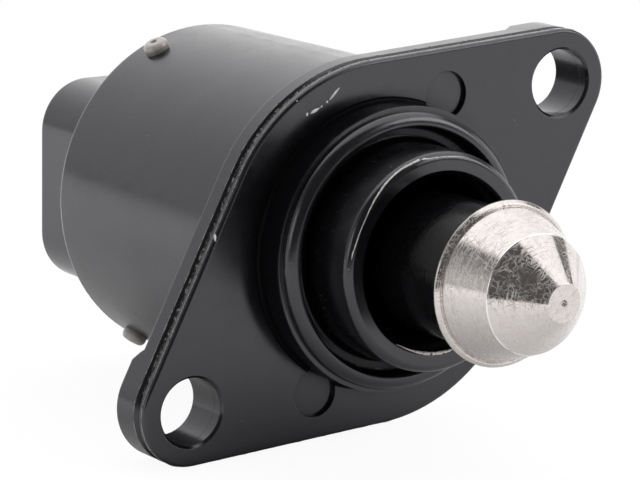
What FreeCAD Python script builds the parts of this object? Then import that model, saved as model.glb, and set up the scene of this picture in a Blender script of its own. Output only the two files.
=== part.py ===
"""Idle air control valve: a stepping motor that screws a metal pintle in and out of a two-hole flange.

Millimetres. The valve axis is +X, pointing out of the flange towards the pintle tip. The origin lies on
that axis in the flange's mounting face, and +Z is up as the valve lies on the straight side of its flange.
Every solid is written to parts/NAME.step.
"""
import FreeCAD, Part
import math
import os

from FreeCAD import Vector

# Flange and its two screw holes
HOLE_PITCH = 50.0
HOLE_LINE_ANGLE = 33.3
HOLE_RADIUS = 3.25
HOLE_MOUTH = 0.25
EAR_RADIUS = 5.25
FLANGE_RADIUS = 17.7
FLANGE_THICKNESS = 3.8
COVER_LAYER = 1.25
EAR_BOSS = 1.2
EAR_BOSS_RADIUS = 5.65
EAR_BOSS_SLOPE = 0.5
EAR_BOSS_EDGE = 0.3
FLANGE_EDGE = 0.35
SEAM_CHAMFER = 0.5

# Moulding marks on the mounting face
MARK_CENTRE = (7.25, 13.65)
MARK_RADIUS = 2.35
MARK_DEPTH = 0.45
MARK_RISE = 1.0

# Stepped spigot in front of the flange
SHOULDER_RADIUS = 13.75
SHOULDER_HEIGHT = 4.5
SHOULDER_STEP_BACK = 1.1
SHOULDER_STEP_WIDTH = 0.45
SHOULDER_LIP = 1.0
SHOULDER_FOOT = 0.25
GROOVE_OUTER = 11.95
GROOVE_DEPTH = 2.1
GROOVE_BLEND = 0.5
GROOVE_EDGE = 0.2
NOSE_RADIUS = 10.45
NOSE_HEIGHT = 9.8
NOSE_EDGE = 0.75
MOUTH_RADIUS = 8.5
MOUTH_DEPTH = 1.2
MOUTH_EDGE = 0.25
SPIGOT_BORE = 8.0
GUIDE_FACE = 4.0
GUIDE_SLOPE = 2.5

# Inner end of the cover: plug, hub, ribs and bearing pocket
PLUG_LENGTH = 2.15
PLUG_CLEARANCE = 0.1
HUB_RADIUS = 10.0
HUB_INSET = 0.4
RIB_COUNT = 6
RIB_THICKNESS = 1.6
POCKET_LENGTH = 4.6

# Two claw-pole stator modules
STATOR_START = 11.55
STATOR_LENGTH = 15.6
STATOR_RADIUS = 15.1
STATOR_BORE = 8.8
STEEL = 0.8
MODULE_GAP = 0.1
CLAW_COUNT = 6
CLAW_ROOT = 3.9
CLAW_TIP = 2.0
CLAW_GAP = 0.7
BOBBIN_CLEARANCE = 0.15
BOBBIN_WALL = 0.7
BOBBIN_RADIUS = 14.1
COIL_RADIUS = 13.6

# Moulded body with its connector
BODY_FRONT_RADIUS = 16.95
BODY_REAR_RADIUS = 16.55
BODY_REAR_EDGE = 0.9
CAVITY_RADIUS = 15.2
LEDGE_RADIUS = 13.3
LEDGE_DEPTH = 1.4
REAR_WALL = 2.6
NUB_COUNT = 3
NUB_FIRST_ANGLE = 115.5
NUB_SETBACK = 3.4
NUB_RADIUS = 1.25
NUB_TOP = 17.5
NUB_EDGE = 0.55
NUB_DIMPLE = 0.35
SHROUD_WIDTH = 26.1
SHROUD_HEIGHT = 20.6
SHROUD_CORNER = 5.1
SHROUD_ROOT = 1.0
SHROUD_EDGE = 0.5
SHROUD_WALL = 2.0
SOCKET_WALL = 2.2
SOCKET_DEPTH = 7.3
KEY_WIDTH = 1.4
KEY_HEIGHT = 0.9
KEY_OFFSET = 5.0
KEY_SETBACK = 1.0
LATCH_WIDTH = 6.0
LATCH_LENGTH = 3.6
LATCH_HEIGHT = 1.4
LATCH_SETBACK = 2.0

# Connector terminals
TERMINAL_COUNT = 4
TERMINAL_PITCH = 4.0
TERMINAL_WIDTH = 1.5
TERMINAL_THICKNESS = 0.8
TERMINAL_REACH = 5.0
TERMINAL_TAPER = 0.9
TERMINAL_TAIL_HEIGHT = 9.4
TERMINAL_COVER = 1.5
TERMINAL_END_GAP = 0.3

# Front ball bearing and rear bush
BEARING_WIDTH = 4.0
BEARING_BORE = 4.0
BEARING_INNER_SHOULDER = 5.2
BEARING_OUTER_SHOULDER = 6.8
BALL_COUNT = 9
BALL_RADIUS = 1.05
BALL_CLEARANCE = 0.06
CAGE_INNER = 5.55
CAGE_OUTER = 6.45
CAGE_WIDTH = 2.6
WASHER_THICKNESS = 0.5
WASHER_BORE = 3.2
RACE_STEP = 0.2
BUSH_RADIUS = 5.0
BUSH_GAP = 0.5
BUSH_SEAT_DEPTH = 1.4

# Rotor
ROTOR_RADIUS = 8.45
ROTOR_BORE = 5.2
MAGNET_INSET = 0.4
HUB_SHOULDER = 5.0
HUB_SHOULDER_WIDTH = 0.4
FRONT_JOURNAL_INSET = 0.3
REAR_JOURNAL_RADIUS = 3.6
REAR_JOURNAL_GAP = 0.2
RUNNING_CLEARANCE = 0.03
NUT_LENGTH = 7.9
ROTOR_RELIEF = 2.85

# Lead screw, sleeve, pintle and spring
SCREW_RADIUS = 2.5
SCREW_BITE = 2.5
SCREW_END_RADIUS = 2.0
SCREW_END_CHAMFER = 0.4
SCREW_END_LENGTH = 4.55
SLEEVE_RADIUS = 6.6
SLEEVE_BORE = 4.9
SLEEVE_REAR = 1.0
SLEEVE_PLUG_LENGTH = 4.05
SLEEVE_CLEARANCE = 0.06
KEYWAY_CLEARANCE = 0.15
RAIL_TOP = 7.25
RAIL_WIDTH = 1.6
RAIL_LENGTH = 2.4
PINTLE_BACK = 19.45
PINTLE_RIM_RADIUS = 7.75
PINTLE_RIM = 0.2
PINTLE_RIM_EDGE = 0.08
PINTLE_BEVEL = 0.35
PINTLE_BEVEL_RADIUS = 7.45
PINTLE_GROOVE_RADIUS = 7.3
PINTLE_GROOVE_WIDTH = 0.25
PINTLE_GROOVE_DEPTH = 0.1
PINTLE_SHOULDER_RADIUS = 7.2
PINTLE_SHALLOW_LENGTH = 4.6
PINTLE_KNEE_RADIUS = 5.6
PINTLE_STEEP_LENGTH = 4.05
PINTLE_TIP_RADIUS = 1.8
PINTLE_DIMPLE_RADIUS = 0.3
SPRING_RADIUS = 4.0
SPRING_WIRE = 0.32
SPRING_TURNS = 8
SPRING_SEAT_GAP = 0.1

# How far a cutting shape reaches past the face it cuts, and a fused one into its neighbour
OVERSHOOT = 1.0
OVERLAP = 0.3

# Stations along the axis that follow from the lengths above
PLUG_REAR = -COVER_LAYER - PLUG_LENGTH
STATOR_FRONT = -COVER_LAYER - STATOR_START
STATOR_REAR = STATOR_FRONT - STATOR_LENGTH
HUB_REAR = STATOR_FRONT + HUB_INSET
POCKET_FRONT = HUB_REAR + POCKET_LENGTH
CAVITY_REAR = STATOR_REAR - LEDGE_DEPTH
BUSH_FRONT = STATOR_REAR - BUSH_GAP
BUSH_SEAT = CAVITY_REAR - BUSH_SEAT_DEPTH
BODY_REAR = CAVITY_REAR - REAR_WALL
NUB_STATION = BODY_REAR + NUB_SETBACK
SOCKET_FLOOR = BODY_REAR - SOCKET_WALL
SHROUD_END = SOCKET_FLOOR - SOCKET_DEPTH
LATCH_STATION = SHROUD_END + LATCH_SETBACK + LATCH_LENGTH
TERMINAL_TIP = SOCKET_FLOOR - TERMINAL_REACH
TERMINAL_BEND = BUSH_SEAT - TERMINAL_COVER - TERMINAL_THICKNESS
TERMINAL_INNER_END = STATOR_REAR - TERMINAL_END_GAP
MAGNET_FRONT = STATOR_FRONT - MAGNET_INSET
MAGNET_REAR = STATOR_REAR + MAGNET_INSET
FRONT_JOURNAL_END = POCKET_FRONT - WASHER_THICKNESS - FRONT_JOURNAL_INSET
REAR_JOURNAL_END = BUSH_SEAT + REAR_JOURNAL_GAP
NUT_REAR = FRONT_JOURNAL_END - NUT_LENGTH
SCREW_REAR = NUT_REAR - SCREW_BITE
SCREW_TIP = PINTLE_BACK + SCREW_END_LENGTH
SLEEVE_WALL_REAR = PINTLE_BACK - SLEEVE_PLUG_LENGTH
GROOVE_BOTTOM = SHOULDER_HEIGHT - GROOVE_DEPTH
PINTLE_SHOULDER = PINTLE_BACK + PINTLE_RIM + PINTLE_BEVEL
PINTLE_KNEE = PINTLE_SHOULDER + PINTLE_SHALLOW_LENGTH
PINTLE_TIP = PINTLE_KNEE + PINTLE_STEEP_LENGTH

AXIS = Vector(1, 0, 0)
ORIGIN = Vector(0, 0, 0)


def cylinder(radius, x_from, x_to, y=0.0, z=0.0):
    """Solid cylinder along X between two stations."""
    start = Vector(min(x_from, x_to), y, z)
    return Part.makeCylinder(radius, abs(x_to - x_from), start, AXIS)


def tube(outer, inner, x_from, x_to):
    """Hollow cylinder along X between two stations."""
    return cylinder(outer, x_from, x_to).cut(cylinder(inner, x_from, x_to))


def corner_arc(before, corner, after, radius):
    """Start, middle and end of the arc that rounds one corner of an outline."""
    to_before = (before - corner).normalize()
    to_after = (after - corner).normalize()
    half = to_before.getAngle(to_after) / 2.0
    reach = radius / math.tan(half)
    middle_way = (to_before + to_after).normalize()
    centre = corner + middle_way * (radius / math.sin(half))
    return corner + to_before * reach, centre - middle_way * radius, corner + to_after * reach


def rounded_wire(corners):
    """Closed wire through (point, radius) corners, with a tangent arc at each corner that has a radius."""
    points = [point for point, radius in corners]
    count = len(corners)
    spans = []
    for i, (point, radius) in enumerate(corners):
        if radius > 0:
            spans.append(corner_arc(points[i - 1], point, points[(i + 1) % count], radius))
        else:
            spans.append((point,))
    edges = []
    for i, span in enumerate(spans):
        if len(span) == 3:
            edges.append(Part.Arc(*span).toShape())
        following = spans[(i + 1) % count][0]
        if span[-1].distanceToPoint(following) > 1e-6:
            edges.append(Part.makeLine(span[-1], following))
    return Part.Wire(edges)


def turned(corners):
    """Solid of revolution about X from (x, radius, rounding) corners."""
    wire = rounded_wire([(Vector(x, 0, r), rounding) for x, r, rounding in corners])
    return Part.Face(wire).revolve(ORIGIN, AXIS, 360)


def turn_about_axis(shape, angle):
    """Copy of a shape turned about the valve axis."""
    copy = shape.copy()
    copy.rotate(ORIGIN, AXIS, angle)
    return copy


def around_axis(shape, count, first=0.0):
    """Copies of a shape spaced evenly about the valve axis."""
    return [turn_about_axis(shape, first + i * 360.0 / count) for i in range(count)]


def block(x_from, x_to, y_from, y_to, z_from, z_to):
    """Box between six planes."""
    corner = Vector(x_from, y_from, z_from)
    return Part.makeBox(x_to - x_from, y_to - y_from, z_to - z_from, corner)


def rounded_block(width, height, corner, x_from, x_to):
    """Bar along X with a rounded rectangular section centred on the axis."""
    half_y = width / 2.0
    half_z = height / 2.0
    signs = [(1, 1), (-1, 1), (-1, -1), (1, -1)]
    corners = [(Vector(x_from, y * half_y, z * half_z), corner) for y, z in signs]
    return Part.Face(rounded_wire(corners)).extrude(Vector(x_to - x_from, 0, 0))


def edges_at(shape, x):
    """Edges that lie wholly in the plane at one station."""
    found = []
    for edge in shape.Edges:
        box = edge.BoundBox
        if abs(box.XMin - x) < 1e-4 and abs(box.XMax - x) < 1e-4:
            found.append(edge)
    return found


def hole_centres():
    """Centres of the two screw holes, as (y, z)."""
    half = HOLE_PITCH / 2.0
    angle = math.radians(HOLE_LINE_ANGLE)
    y = half * math.cos(angle)
    z = half * math.sin(angle)
    return [(y, z), (-y, -z)]


def flange_slab(x_from, x_to):
    """Diamond plate: a round middle and two rounded ears joined by straight tangent sides."""
    half = HOLE_PITCH / 2.0
    lean = math.asin((FLANGE_RADIUS - EAR_RADIUS) / half)
    edges = []
    for side in (0.0, math.pi):
        ear = Vector(x_from, half * math.cos(side), half * math.sin(side))
        start = side - math.pi / 2.0 + lean
        end = side + math.pi / 2.0 - lean
        middle_end = side + math.pi / 2.0 + lean
        arc_points = [ring_point(ear, EAR_RADIUS, a) for a in (start, side, end)]
        centre = Vector(x_from, 0, 0)
        first = ring_point(centre, FLANGE_RADIUS, end)
        crest = ring_point(centre, FLANGE_RADIUS, side + math.pi / 2.0)
        last = ring_point(centre, FLANGE_RADIUS, middle_end)
        edges.append(Part.Arc(*arc_points).toShape())
        edges.append(Part.makeLine(arc_points[2], first))
        edges.append(Part.Arc(first, crest, last).toShape())
        opposite = Vector(x_from, -half * math.cos(side), -half * math.sin(side))
        edges.append(Part.makeLine(last, ring_point(opposite, EAR_RADIUS, middle_end)))
    slab = Part.Face(Part.Wire(edges)).extrude(Vector(x_to - x_from, 0, 0))
    return turn_about_axis(slab, HOLE_LINE_ANGLE)


def ring_point(centre, radius, angle):
    """Point on a circle that faces along X."""
    return centre + Vector(0, radius * math.cos(angle), radius * math.sin(angle))


def ear_boss(x_rear, y, z):
    """Thicker rim behind one screw hole: it follows the ear's outline and slopes off towards the body."""
    x_front = -FLANGE_THICKNESS + FLANGE_EDGE
    height = x_front - x_rear
    root_radius = EAR_BOSS_RADIUS + EAR_BOSS_SLOPE * height
    spread = Part.makeCone(EAR_BOSS_RADIUS, root_radius, height, Vector(x_rear, y, z), AXIS)
    boss = flange_slab(x_rear, x_front).common(spread)
    return boss.makeFillet(EAR_BOSS_EDGE, edges_at(boss, x_rear))


def nub():
    """Small round nub with a dimple, standing out of the body at +Y."""
    root = CAVITY_RADIUS + OVERLAP
    start = Vector(NUB_STATION, root, 0)
    boss = Part.makeCylinder(NUB_RADIUS, NUB_TOP - root, start, Vector(0, 1, 0))
    top_edges = [edge for edge in boss.Edges if edge.BoundBox.YMin > NUB_TOP - 1e-4]
    boss = boss.makeFillet(NUB_EDGE, top_edges)
    dimple = Part.makeSphere(NUB_DIMPLE, Vector(NUB_STATION, NUB_TOP, 0))
    return boss, dimple


def terminal(index):
    """One stamped connector blade with a step in the wall and a tail towards the windings."""
    y = (index - (TERMINAL_COUNT - 1) / 2.0) * TERMINAL_PITCH
    half = TERMINAL_WIDTH / 2.0
    thin = TERMINAL_THICKNESS / 2.0
    tail_top = TERMINAL_TAIL_HEIGHT
    bend_front = TERMINAL_BEND + TERMINAL_THICKNESS
    outline = [
        (TERMINAL_TIP, -thin / 2.0),
        (TERMINAL_TIP + TERMINAL_TAPER, -thin),
        (bend_front, -thin),
        (bend_front, tail_top - TERMINAL_THICKNESS),
        (TERMINAL_INNER_END, tail_top - TERMINAL_THICKNESS),
        (TERMINAL_INNER_END, tail_top),
        (TERMINAL_BEND, tail_top),
        (TERMINAL_BEND, thin),
        (TERMINAL_TIP + TERMINAL_TAPER, thin),
        (TERMINAL_TIP, thin / 2.0),
    ]
    wire = rounded_wire([(Vector(x, y - half, z), 0) for x, z in outline])
    return Part.Face(wire).extrude(Vector(0, TERMINAL_WIDTH, 0))


def latch():
    """Locking ramp for the plug on top of the connector shroud."""
    top = SHROUD_HEIGHT / 2.0
    half = LATCH_WIDTH / 2.0
    outline = [
        (LATCH_STATION, top - OVERLAP),
        (LATCH_STATION, top + LATCH_HEIGHT),
        (LATCH_STATION - LATCH_LENGTH / 3.0, top + LATCH_HEIGHT),
        (LATCH_STATION - LATCH_LENGTH, top),
        (LATCH_STATION - LATCH_LENGTH, top - OVERLAP),
    ]
    wire = rounded_wire([(Vector(x, -half, z), 0) for x, z in outline])
    return Part.Face(wire).extrude(Vector(0, LATCH_WIDTH, 0))


def housing(terminals):
    """Moulded body, rear half of the flange, ear bosses and connector shroud in one piece."""
    body = turned([
        (-COVER_LAYER, 0, 0),
        (BODY_REAR, 0, 0),
        (BODY_REAR, BODY_REAR_RADIUS, BODY_REAR_EDGE),
        (-COVER_LAYER, BODY_FRONT_RADIUS, 0),
    ])
    slab = flange_slab(-FLANGE_THICKNESS, -COVER_LAYER)
    slab = slab.makeFillet(FLANGE_EDGE, edges_at(slab, -FLANGE_THICKNESS))
    slab = slab.makeChamfer(SEAM_CHAMFER, edges_at(slab, -COVER_LAYER))
    solid = body.fuse(slab)
    boss_rear = -FLANGE_THICKNESS - EAR_BOSS
    for y, z in hole_centres():
        solid = solid.fuse(ear_boss(boss_rear, y, z))
    shroud = rounded_block(SHROUD_WIDTH, SHROUD_HEIGHT, SHROUD_CORNER, SHROUD_END, BODY_REAR + SHROUD_ROOT)
    shroud = shroud.makeFillet(SHROUD_EDGE, edges_at(shroud, SHROUD_END))
    solid = solid.fuse(shroud).fuse(latch())
    inner_width = SHROUD_WIDTH - 2 * SHROUD_WALL
    inner_height = SHROUD_HEIGHT - 2 * SHROUD_WALL
    inner_corner = SHROUD_CORNER - SHROUD_WALL
    socket = rounded_block(inner_width, inner_height, inner_corner, SHROUD_END - OVERSHOOT, SOCKET_FLOOR)
    solid = solid.cut(socket)
    for side in (-1, 1):
        y = side * KEY_OFFSET
        low = -inner_height / 2.0
        key = block(SHROUD_END + KEY_SETBACK, SOCKET_FLOOR, y - KEY_WIDTH / 2.0, y + KEY_WIDTH / 2.0,
                    low - OVERLAP, low + KEY_HEIGHT)
        solid = solid.fuse(key)
    for piece in around_axis(nub()[0], NUB_COUNT, NUB_FIRST_ANGLE):
        solid = solid.fuse(piece)
    for piece in around_axis(nub()[1], NUB_COUNT, NUB_FIRST_ANGLE):
        solid = solid.cut(piece)
    solid = solid.cut(cylinder(CAVITY_RADIUS, STATOR_REAR, 0.0))
    solid = solid.cut(cylinder(LEDGE_RADIUS, CAVITY_REAR, STATOR_REAR))
    solid = solid.cut(cylinder(BUSH_RADIUS, BUSH_SEAT, CAVITY_REAR))
    for y, z in hole_centres():
        solid = solid.cut(cylinder(HOLE_RADIUS, boss_rear - OVERSHOOT, 0.0, y, z))
    for piece in terminals:
        solid = solid.cut(piece)
    return solid.removeSplitter()


def front_cover():
    """Front half of the flange with the stepped spigot, the sleeve guide and the bearing pocket."""
    slab = flange_slab(-COVER_LAYER, 0.0)
    slab = slab.makeFillet(FLANGE_EDGE, edges_at(slab, 0.0))
    slab = slab.makeChamfer(SEAM_CHAMFER, edges_at(slab, -COVER_LAYER))
    plug = CAVITY_RADIUS - PLUG_CLEARANCE
    foot = SHOULDER_RADIUS + SHOULDER_FOOT
    step = SHOULDER_HEIGHT - SHOULDER_STEP_BACK
    lip_radius = SHOULDER_RADIUS - SHOULDER_STEP_WIDTH
    spigot = turned([
        (PLUG_REAR, 0, 0),
        (PLUG_REAR, plug, 0),
        (-COVER_LAYER, plug, 0),
        (-COVER_LAYER / 2.0, foot, 0),
        (0, foot, 0),
        (0, SHOULDER_RADIUS, SHOULDER_FOOT - 0.02),
        (step, SHOULDER_RADIUS, 0),
        (step, lip_radius, 0),
        (SHOULDER_HEIGHT, lip_radius, SHOULDER_LIP),
        (SHOULDER_HEIGHT, GROOVE_OUTER, GROOVE_EDGE),
        (GROOVE_BOTTOM, GROOVE_OUTER, GROOVE_BLEND),
        (GROOVE_BOTTOM, NOSE_RADIUS, GROOVE_BLEND),
        (NOSE_HEIGHT, NOSE_RADIUS, NOSE_EDGE),
        (NOSE_HEIGHT, 0, 0),
    ])
    solid = slab.fuse(spigot).fuse(cylinder(HUB_RADIUS, HUB_REAR, PLUG_REAR))
    rib = block(STATOR_FRONT, PLUG_REAR, 0, plug, -RIB_THICKNESS / 2.0, RIB_THICKNESS / 2.0)
    rib = rib.cut(cylinder(STATOR_BORE, STATOR_FRONT - OVERSHOOT, PLUG_REAR))
    rib = rib.common(cylinder(plug, STATOR_FRONT, PLUG_REAR))
    for piece in around_axis(rib, RIB_COUNT, 30.0):
        solid = solid.fuse(piece)
    bore = turned([
        (NOSE_HEIGHT + OVERSHOOT, 0, 0),
        (NOSE_HEIGHT + OVERSHOOT, MOUTH_RADIUS + MOUTH_EDGE, 0),
        (NOSE_HEIGHT, MOUTH_RADIUS + MOUTH_EDGE, 0),
        (NOSE_HEIGHT - MOUTH_EDGE, MOUTH_RADIUS, 0),
        (NOSE_HEIGHT - MOUTH_DEPTH, MOUTH_RADIUS, 0),
        (NOSE_HEIGHT - MOUTH_DEPTH - (MOUTH_RADIUS - SPIGOT_BORE), SPIGOT_BORE, 0),
        (GUIDE_FACE - GUIDE_SLOPE, SPIGOT_BORE, 0),
        (GUIDE_FACE, SLEEVE_RADIUS + SLEEVE_CLEARANCE, 0),
        (POCKET_FRONT, SLEEVE_RADIUS + SLEEVE_CLEARANCE, 0),
        (POCKET_FRONT, SPIGOT_BORE, 0),
        (HUB_REAR - OVERSHOOT, SPIGOT_BORE, 0),
        (HUB_REAR - OVERSHOOT, 0, 0),
    ])
    solid = solid.cut(bore)
    half_way = RAIL_WIDTH / 2.0 + KEYWAY_CLEARANCE
    keyway = block(POCKET_FRONT - OVERLAP, GUIDE_FACE + OVERLAP, 0, RAIL_TOP + 2 * KEYWAY_CLEARANCE,
                   -half_way, half_way)
    for piece in around_axis(keyway, 2):
        solid = solid.cut(piece)
    for y, z in hole_centres():
        solid = solid.cut(cylinder(HOLE_RADIUS, -COVER_LAYER - OVERSHOOT, OVERSHOOT, y, z))
        mouth = Part.makeCone(HOLE_RADIUS, HOLE_RADIUS + HOLE_MOUTH, HOLE_MOUTH,
                              Vector(-HOLE_MOUTH, y, z), AXIS)
        solid = solid.cut(mouth)
    for side in (-1, 1):
        y = side * MARK_CENTRE[0]
        z = side * MARK_CENTRE[1]
        solid = solid.cut(cylinder(MARK_RADIUS, -MARK_DEPTH, MARK_RISE, y, z))
    return solid.removeSplitter()


def claw(x_root, x_tip):
    """One tapered pole finger of a stator plate, at +Z."""
    root = CLAW_ROOT / 2.0
    tip = CLAW_TIP / 2.0
    outline = [(x_root, -root), (x_root, root), (x_tip, tip), (x_tip, -tip)]
    wire = rounded_wire([(Vector(x, y, 0), 0) for x, y in outline])
    wedge = Part.Face(wire).extrude(Vector(0, 0, STATOR_RADIUS))
    ring = tube(STATOR_BORE + STEEL, STATOR_BORE, min(x_root, x_tip), max(x_root, x_tip))
    return wedge.common(ring)


def module_length():
    """Length of one of the two stator modules."""
    return (STATOR_FRONT - STATOR_REAR - MODULE_GAP) / 2.0


def stator_cup(x_closed, x_open):
    """Drawn steel cup with pole fingers, closed at one end."""
    towards = 1.0 if x_open > x_closed else -1.0
    floor_end = x_closed + towards * STEEL
    wall = tube(STATOR_RADIUS, STATOR_RADIUS - STEEL, x_closed, x_open)
    solid = wall.fuse(tube(STATOR_RADIUS, STATOR_BORE, x_closed, floor_end))
    finger = claw(x_closed + towards * STEEL / 2.0, x_open - towards * (STEEL + CLAW_GAP))
    for piece in around_axis(finger, CLAW_COUNT):
        solid = solid.fuse(piece)
    return solid.removeSplitter()


def stator_plate(x_outer, x_far):
    """Flat pole plate that closes a cup, with fingers between the cup's own."""
    towards = 1.0 if x_far > x_outer else -1.0
    rim = STATOR_RADIUS - STEEL - 0.05
    solid = tube(rim, STATOR_BORE, x_outer, x_outer + towards * STEEL)
    finger = claw(x_outer + towards * STEEL / 2.0, x_far - towards * (STEEL + CLAW_GAP))
    for piece in around_axis(finger, CLAW_COUNT, 180.0 / CLAW_COUNT):
        solid = solid.fuse(piece)
    return solid.removeSplitter()


def bobbin(x_from, x_to):
    """Moulded coil former between the pole plates."""
    inner = STATOR_BORE + STEEL + BOBBIN_CLEARANCE
    x_low = x_from + STEEL + BOBBIN_CLEARANCE
    x_high = x_to - STEEL - BOBBIN_CLEARANCE
    solid = tube(inner + BOBBIN_WALL, inner, x_low, x_high)
    solid = solid.fuse(tube(BOBBIN_RADIUS, inner, x_low, x_low + BOBBIN_WALL))
    solid = solid.fuse(tube(BOBBIN_RADIUS, inner, x_high - BOBBIN_WALL, x_high))
    return solid.removeSplitter()


def coil(x_from, x_to):
    """Wound wire that fills the former."""
    inset = STEEL + BOBBIN_CLEARANCE + BOBBIN_WALL
    core = STATOR_BORE + STEEL + BOBBIN_CLEARANCE + BOBBIN_WALL
    return tube(COIL_RADIUS, core, x_from + inset, x_to - inset)


def bearing_centre():
    """Station of the ball plane."""
    return POCKET_FRONT - WASHER_THICKNESS - BEARING_WIDTH / 2.0


def ball_circle():
    """Radius of the circle through the ball centres."""
    return (BEARING_INNER_SHOULDER + BEARING_OUTER_SHOULDER) / 2.0


def ball_track():
    """Torus that the balls sweep, with their clearance."""
    return Part.makeTorus(ball_circle(), BALL_RADIUS + BALL_CLEARANCE,
                          Vector(bearing_centre(), 0, 0), AXIS)


def bearing_outer_race():
    """Outer ring, fixed in the cover's pocket."""
    middle = bearing_centre()
    half = BEARING_WIDTH / 2.0
    ring = tube(SPIGOT_BORE, BEARING_OUTER_SHOULDER, middle - half, middle + half)
    return ring.cut(ball_track())


def bearing_inner_race():
    """Inner ring, turning with the rotor."""
    middle = bearing_centre() - RACE_STEP
    half = BEARING_WIDTH / 2.0
    ring = tube(BEARING_INNER_SHOULDER, BEARING_BORE, middle - half, middle + half)
    return ring.cut(ball_track())


def bearing_balls():
    """Balls of the front bearing, as separate solids in one group."""
    ball = Part.makeSphere(BALL_RADIUS, Vector(bearing_centre(), 0, ball_circle()))
    return Part.makeCompound(around_axis(ball, BALL_COUNT))


def ball_cage():
    """Ring that keeps the balls apart."""
    middle = bearing_centre()
    ring = tube(CAGE_OUTER, CAGE_INNER, middle - CAGE_WIDTH / 2.0, middle + CAGE_WIDTH / 2.0)
    pocket = Part.makeSphere(BALL_RADIUS + BALL_CLEARANCE, Vector(middle, 0, ball_circle()))
    for piece in around_axis(pocket, BALL_COUNT):
        ring = ring.cut(piece)
    return ring


def rear_bush():
    """Sintered bush for the rotor's rear journal."""
    bore = REAR_JOURNAL_RADIUS + RUNNING_CLEARANCE
    return tube(BUSH_RADIUS, bore, BUSH_SEAT, BUSH_FRONT)


def rotor_magnet():
    """Ring magnet of the rotor."""
    return tube(ROTOR_RADIUS, ROTOR_BORE, MAGNET_REAR, MAGNET_FRONT)


def rotor_hub():
    """Hub that carries the magnet and works as the nut of the lead screw."""
    shoulder = bearing_centre() - RACE_STEP - BEARING_WIDTH / 2.0
    outer = [
        (FRONT_JOURNAL_END, 0, 0),
        (FRONT_JOURNAL_END, BEARING_BORE, 0),
        (shoulder, BEARING_BORE, 0),
        (shoulder, HUB_SHOULDER, 0),
        (MAGNET_FRONT, HUB_SHOULDER, 0),
        (MAGNET_FRONT, ROTOR_BORE, 0),
        (MAGNET_REAR, ROTOR_BORE, 0),
        (MAGNET_REAR, HUB_SHOULDER, 0),
        (MAGNET_REAR - HUB_SHOULDER_WIDTH, HUB_SHOULDER, 0),
        (MAGNET_REAR - HUB_SHOULDER_WIDTH, REAR_JOURNAL_RADIUS, 0),
        (REAR_JOURNAL_END, REAR_JOURNAL_RADIUS, 0),
        (REAR_JOURNAL_END, 0, 0),
    ]
    solid = turned(outer)
    thread = SCREW_RADIUS + RUNNING_CLEARANCE
    solid = solid.cut(cylinder(thread, NUT_REAR, FRONT_JOURNAL_END))
    return solid.cut(cylinder(ROTOR_RELIEF, REAR_JOURNAL_END, NUT_REAR))


def spring_seat():
    """Washer between the bearing and the spring."""
    return tube(SPIGOT_BORE, WASHER_BORE, POCKET_FRONT - WASHER_THICKNESS, POCKET_FRONT)


def lead_screw():
    """Threaded shaft that the rotor drives, with a stepped end in the pintle."""
    return turned([
        (SCREW_REAR, 0, 0),
        (SCREW_REAR, SCREW_RADIUS - SCREW_END_CHAMFER, 0),
        (SCREW_REAR + SCREW_END_CHAMFER, SCREW_RADIUS, 0),
        (PINTLE_BACK, SCREW_RADIUS, 0),
        (PINTLE_BACK, SCREW_END_RADIUS, 0),
        (SCREW_TIP, SCREW_END_RADIUS, 0),
        (SCREW_TIP, 0, 0),
    ])


def plunger_sleeve():
    """Black sleeve behind the pintle, kept from turning by two rails."""
    solid = tube(SLEEVE_RADIUS, SLEEVE_BORE, SLEEVE_REAR, PINTLE_BACK)
    solid = solid.fuse(tube(SLEEVE_BORE + OVERLAP, SCREW_RADIUS, SLEEVE_WALL_REAR, PINTLE_BACK))
    rail = block(SLEEVE_REAR, SLEEVE_REAR + RAIL_LENGTH, SLEEVE_BORE + OVERLAP, RAIL_TOP,
                 -RAIL_WIDTH / 2.0, RAIL_WIDTH / 2.0)
    for piece in around_axis(rail, 2):
        solid = solid.fuse(piece)
    return solid.removeSplitter()


def pintle_cone():
    """Turned metal cap: bevelled rim, fine groove, shallow cone, steep cone and a flat tip with a centre mark."""
    taper = (PINTLE_SHOULDER_RADIUS - PINTLE_KNEE_RADIUS) / PINTLE_SHALLOW_LENGTH
    solid = turned([
        (PINTLE_BACK, 0, 0),
        (PINTLE_BACK, PINTLE_RIM_RADIUS, PINTLE_RIM_EDGE),
        (PINTLE_BACK + PINTLE_RIM, PINTLE_RIM_RADIUS, 0),
        (PINTLE_SHOULDER, PINTLE_BEVEL_RADIUS, 0),
        (PINTLE_SHOULDER, PINTLE_GROOVE_RADIUS, 0),
        (PINTLE_SHOULDER - PINTLE_GROOVE_DEPTH, PINTLE_GROOVE_RADIUS - PINTLE_GROOVE_DEPTH, 0),
        (PINTLE_SHOULDER + PINTLE_GROOVE_WIDTH, PINTLE_SHOULDER_RADIUS - taper * PINTLE_GROOVE_WIDTH, 0),
        (PINTLE_KNEE, PINTLE_KNEE_RADIUS, 0),
        (PINTLE_TIP, PINTLE_TIP_RADIUS, 0),
        (PINTLE_TIP, 0, 0),
    ])
    solid = solid.cut(cylinder(SCREW_END_RADIUS, PINTLE_BACK, SCREW_TIP))
    return solid.cut(Part.makeSphere(PINTLE_DIMPLE_RADIUS, Vector(PINTLE_TIP, 0, 0)))


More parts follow.
